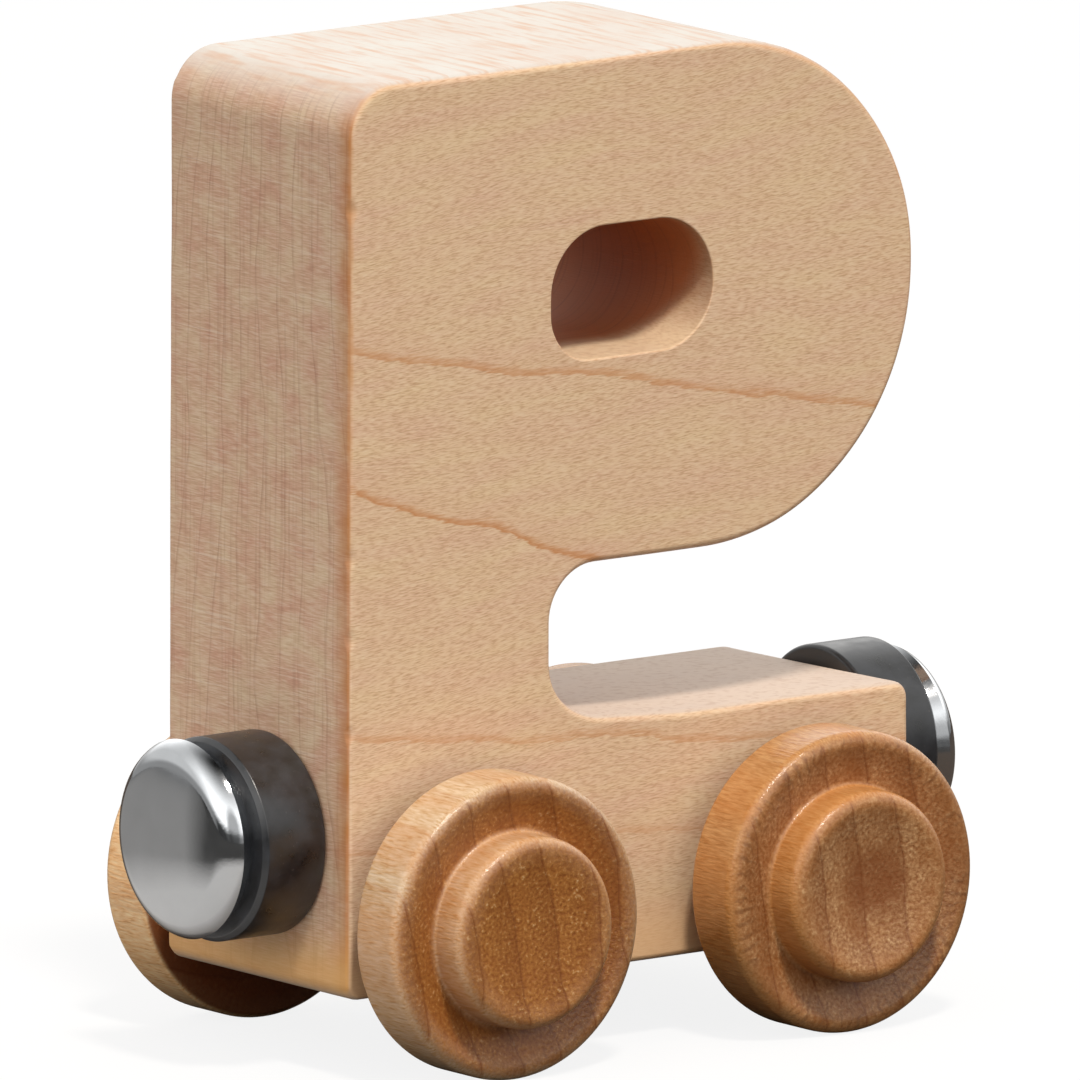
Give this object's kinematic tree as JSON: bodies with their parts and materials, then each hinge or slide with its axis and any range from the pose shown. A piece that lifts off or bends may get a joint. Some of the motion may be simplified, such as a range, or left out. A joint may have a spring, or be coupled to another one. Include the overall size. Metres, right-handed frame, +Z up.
{
  "type": "letter train car",
  "caption": "Wooden letter train car: a block sawn to a capital P over a low deck, rolling on turned wheelsets, with a ring magnet and domed nail on each end for coupling.",
  "frame": {"origin": "on the track, under the middle of the car", "axes": "+X to the rear of the car, with the upright of the letter at the front; +Y to the car's right; +Z up"},
  "size_m": [0.0586, 0.0348, 0.0629],
  "materials": {
    "block_wood": "sanded maple, bare",
    "wheel_wood": "turned maple, oiled to a soft gloss",
    "dowel_wood": "birch dowel, bare",
    "magnet": "sintered ferrite, dark grey, satin",
    "plated_steel": "nickel plated, polished"
  },
  "bodies": {
    "car": {"letter_body": "block_wood", "front_magnet": "magnet", "rear_magnet": "magnet", "front_nail": "plated_steel", "rear_nail": "plated_steel"},
    "front_wheelset": {"front_axle": "dowel_wood", "front_left_wheel": "wheel_wood", "front_right_wheel": "wheel_wood"},
    "rear_wheelset": {"rear_axle": "dowel_wood", "rear_left_wheel": "wheel_wood", "rear_right_wheel": "wheel_wood"}
  },
  "joints": [
    {"name": "front_wheelset_spin", "type": "hinge", "parent": "car", "child": "front_wheelset", "pos_m": [-0.0131, 0, 0.0096], "axis": [0, 1, 0], "continuous": true},
    {"name": "rear_wheelset_spin", "type": "hinge", "parent": "car", "child": "rear_wheelset", "pos_m": [0.0131, 0, 0.0096], "axis": [0, 1, 0], "continuous": true}
  ]
}
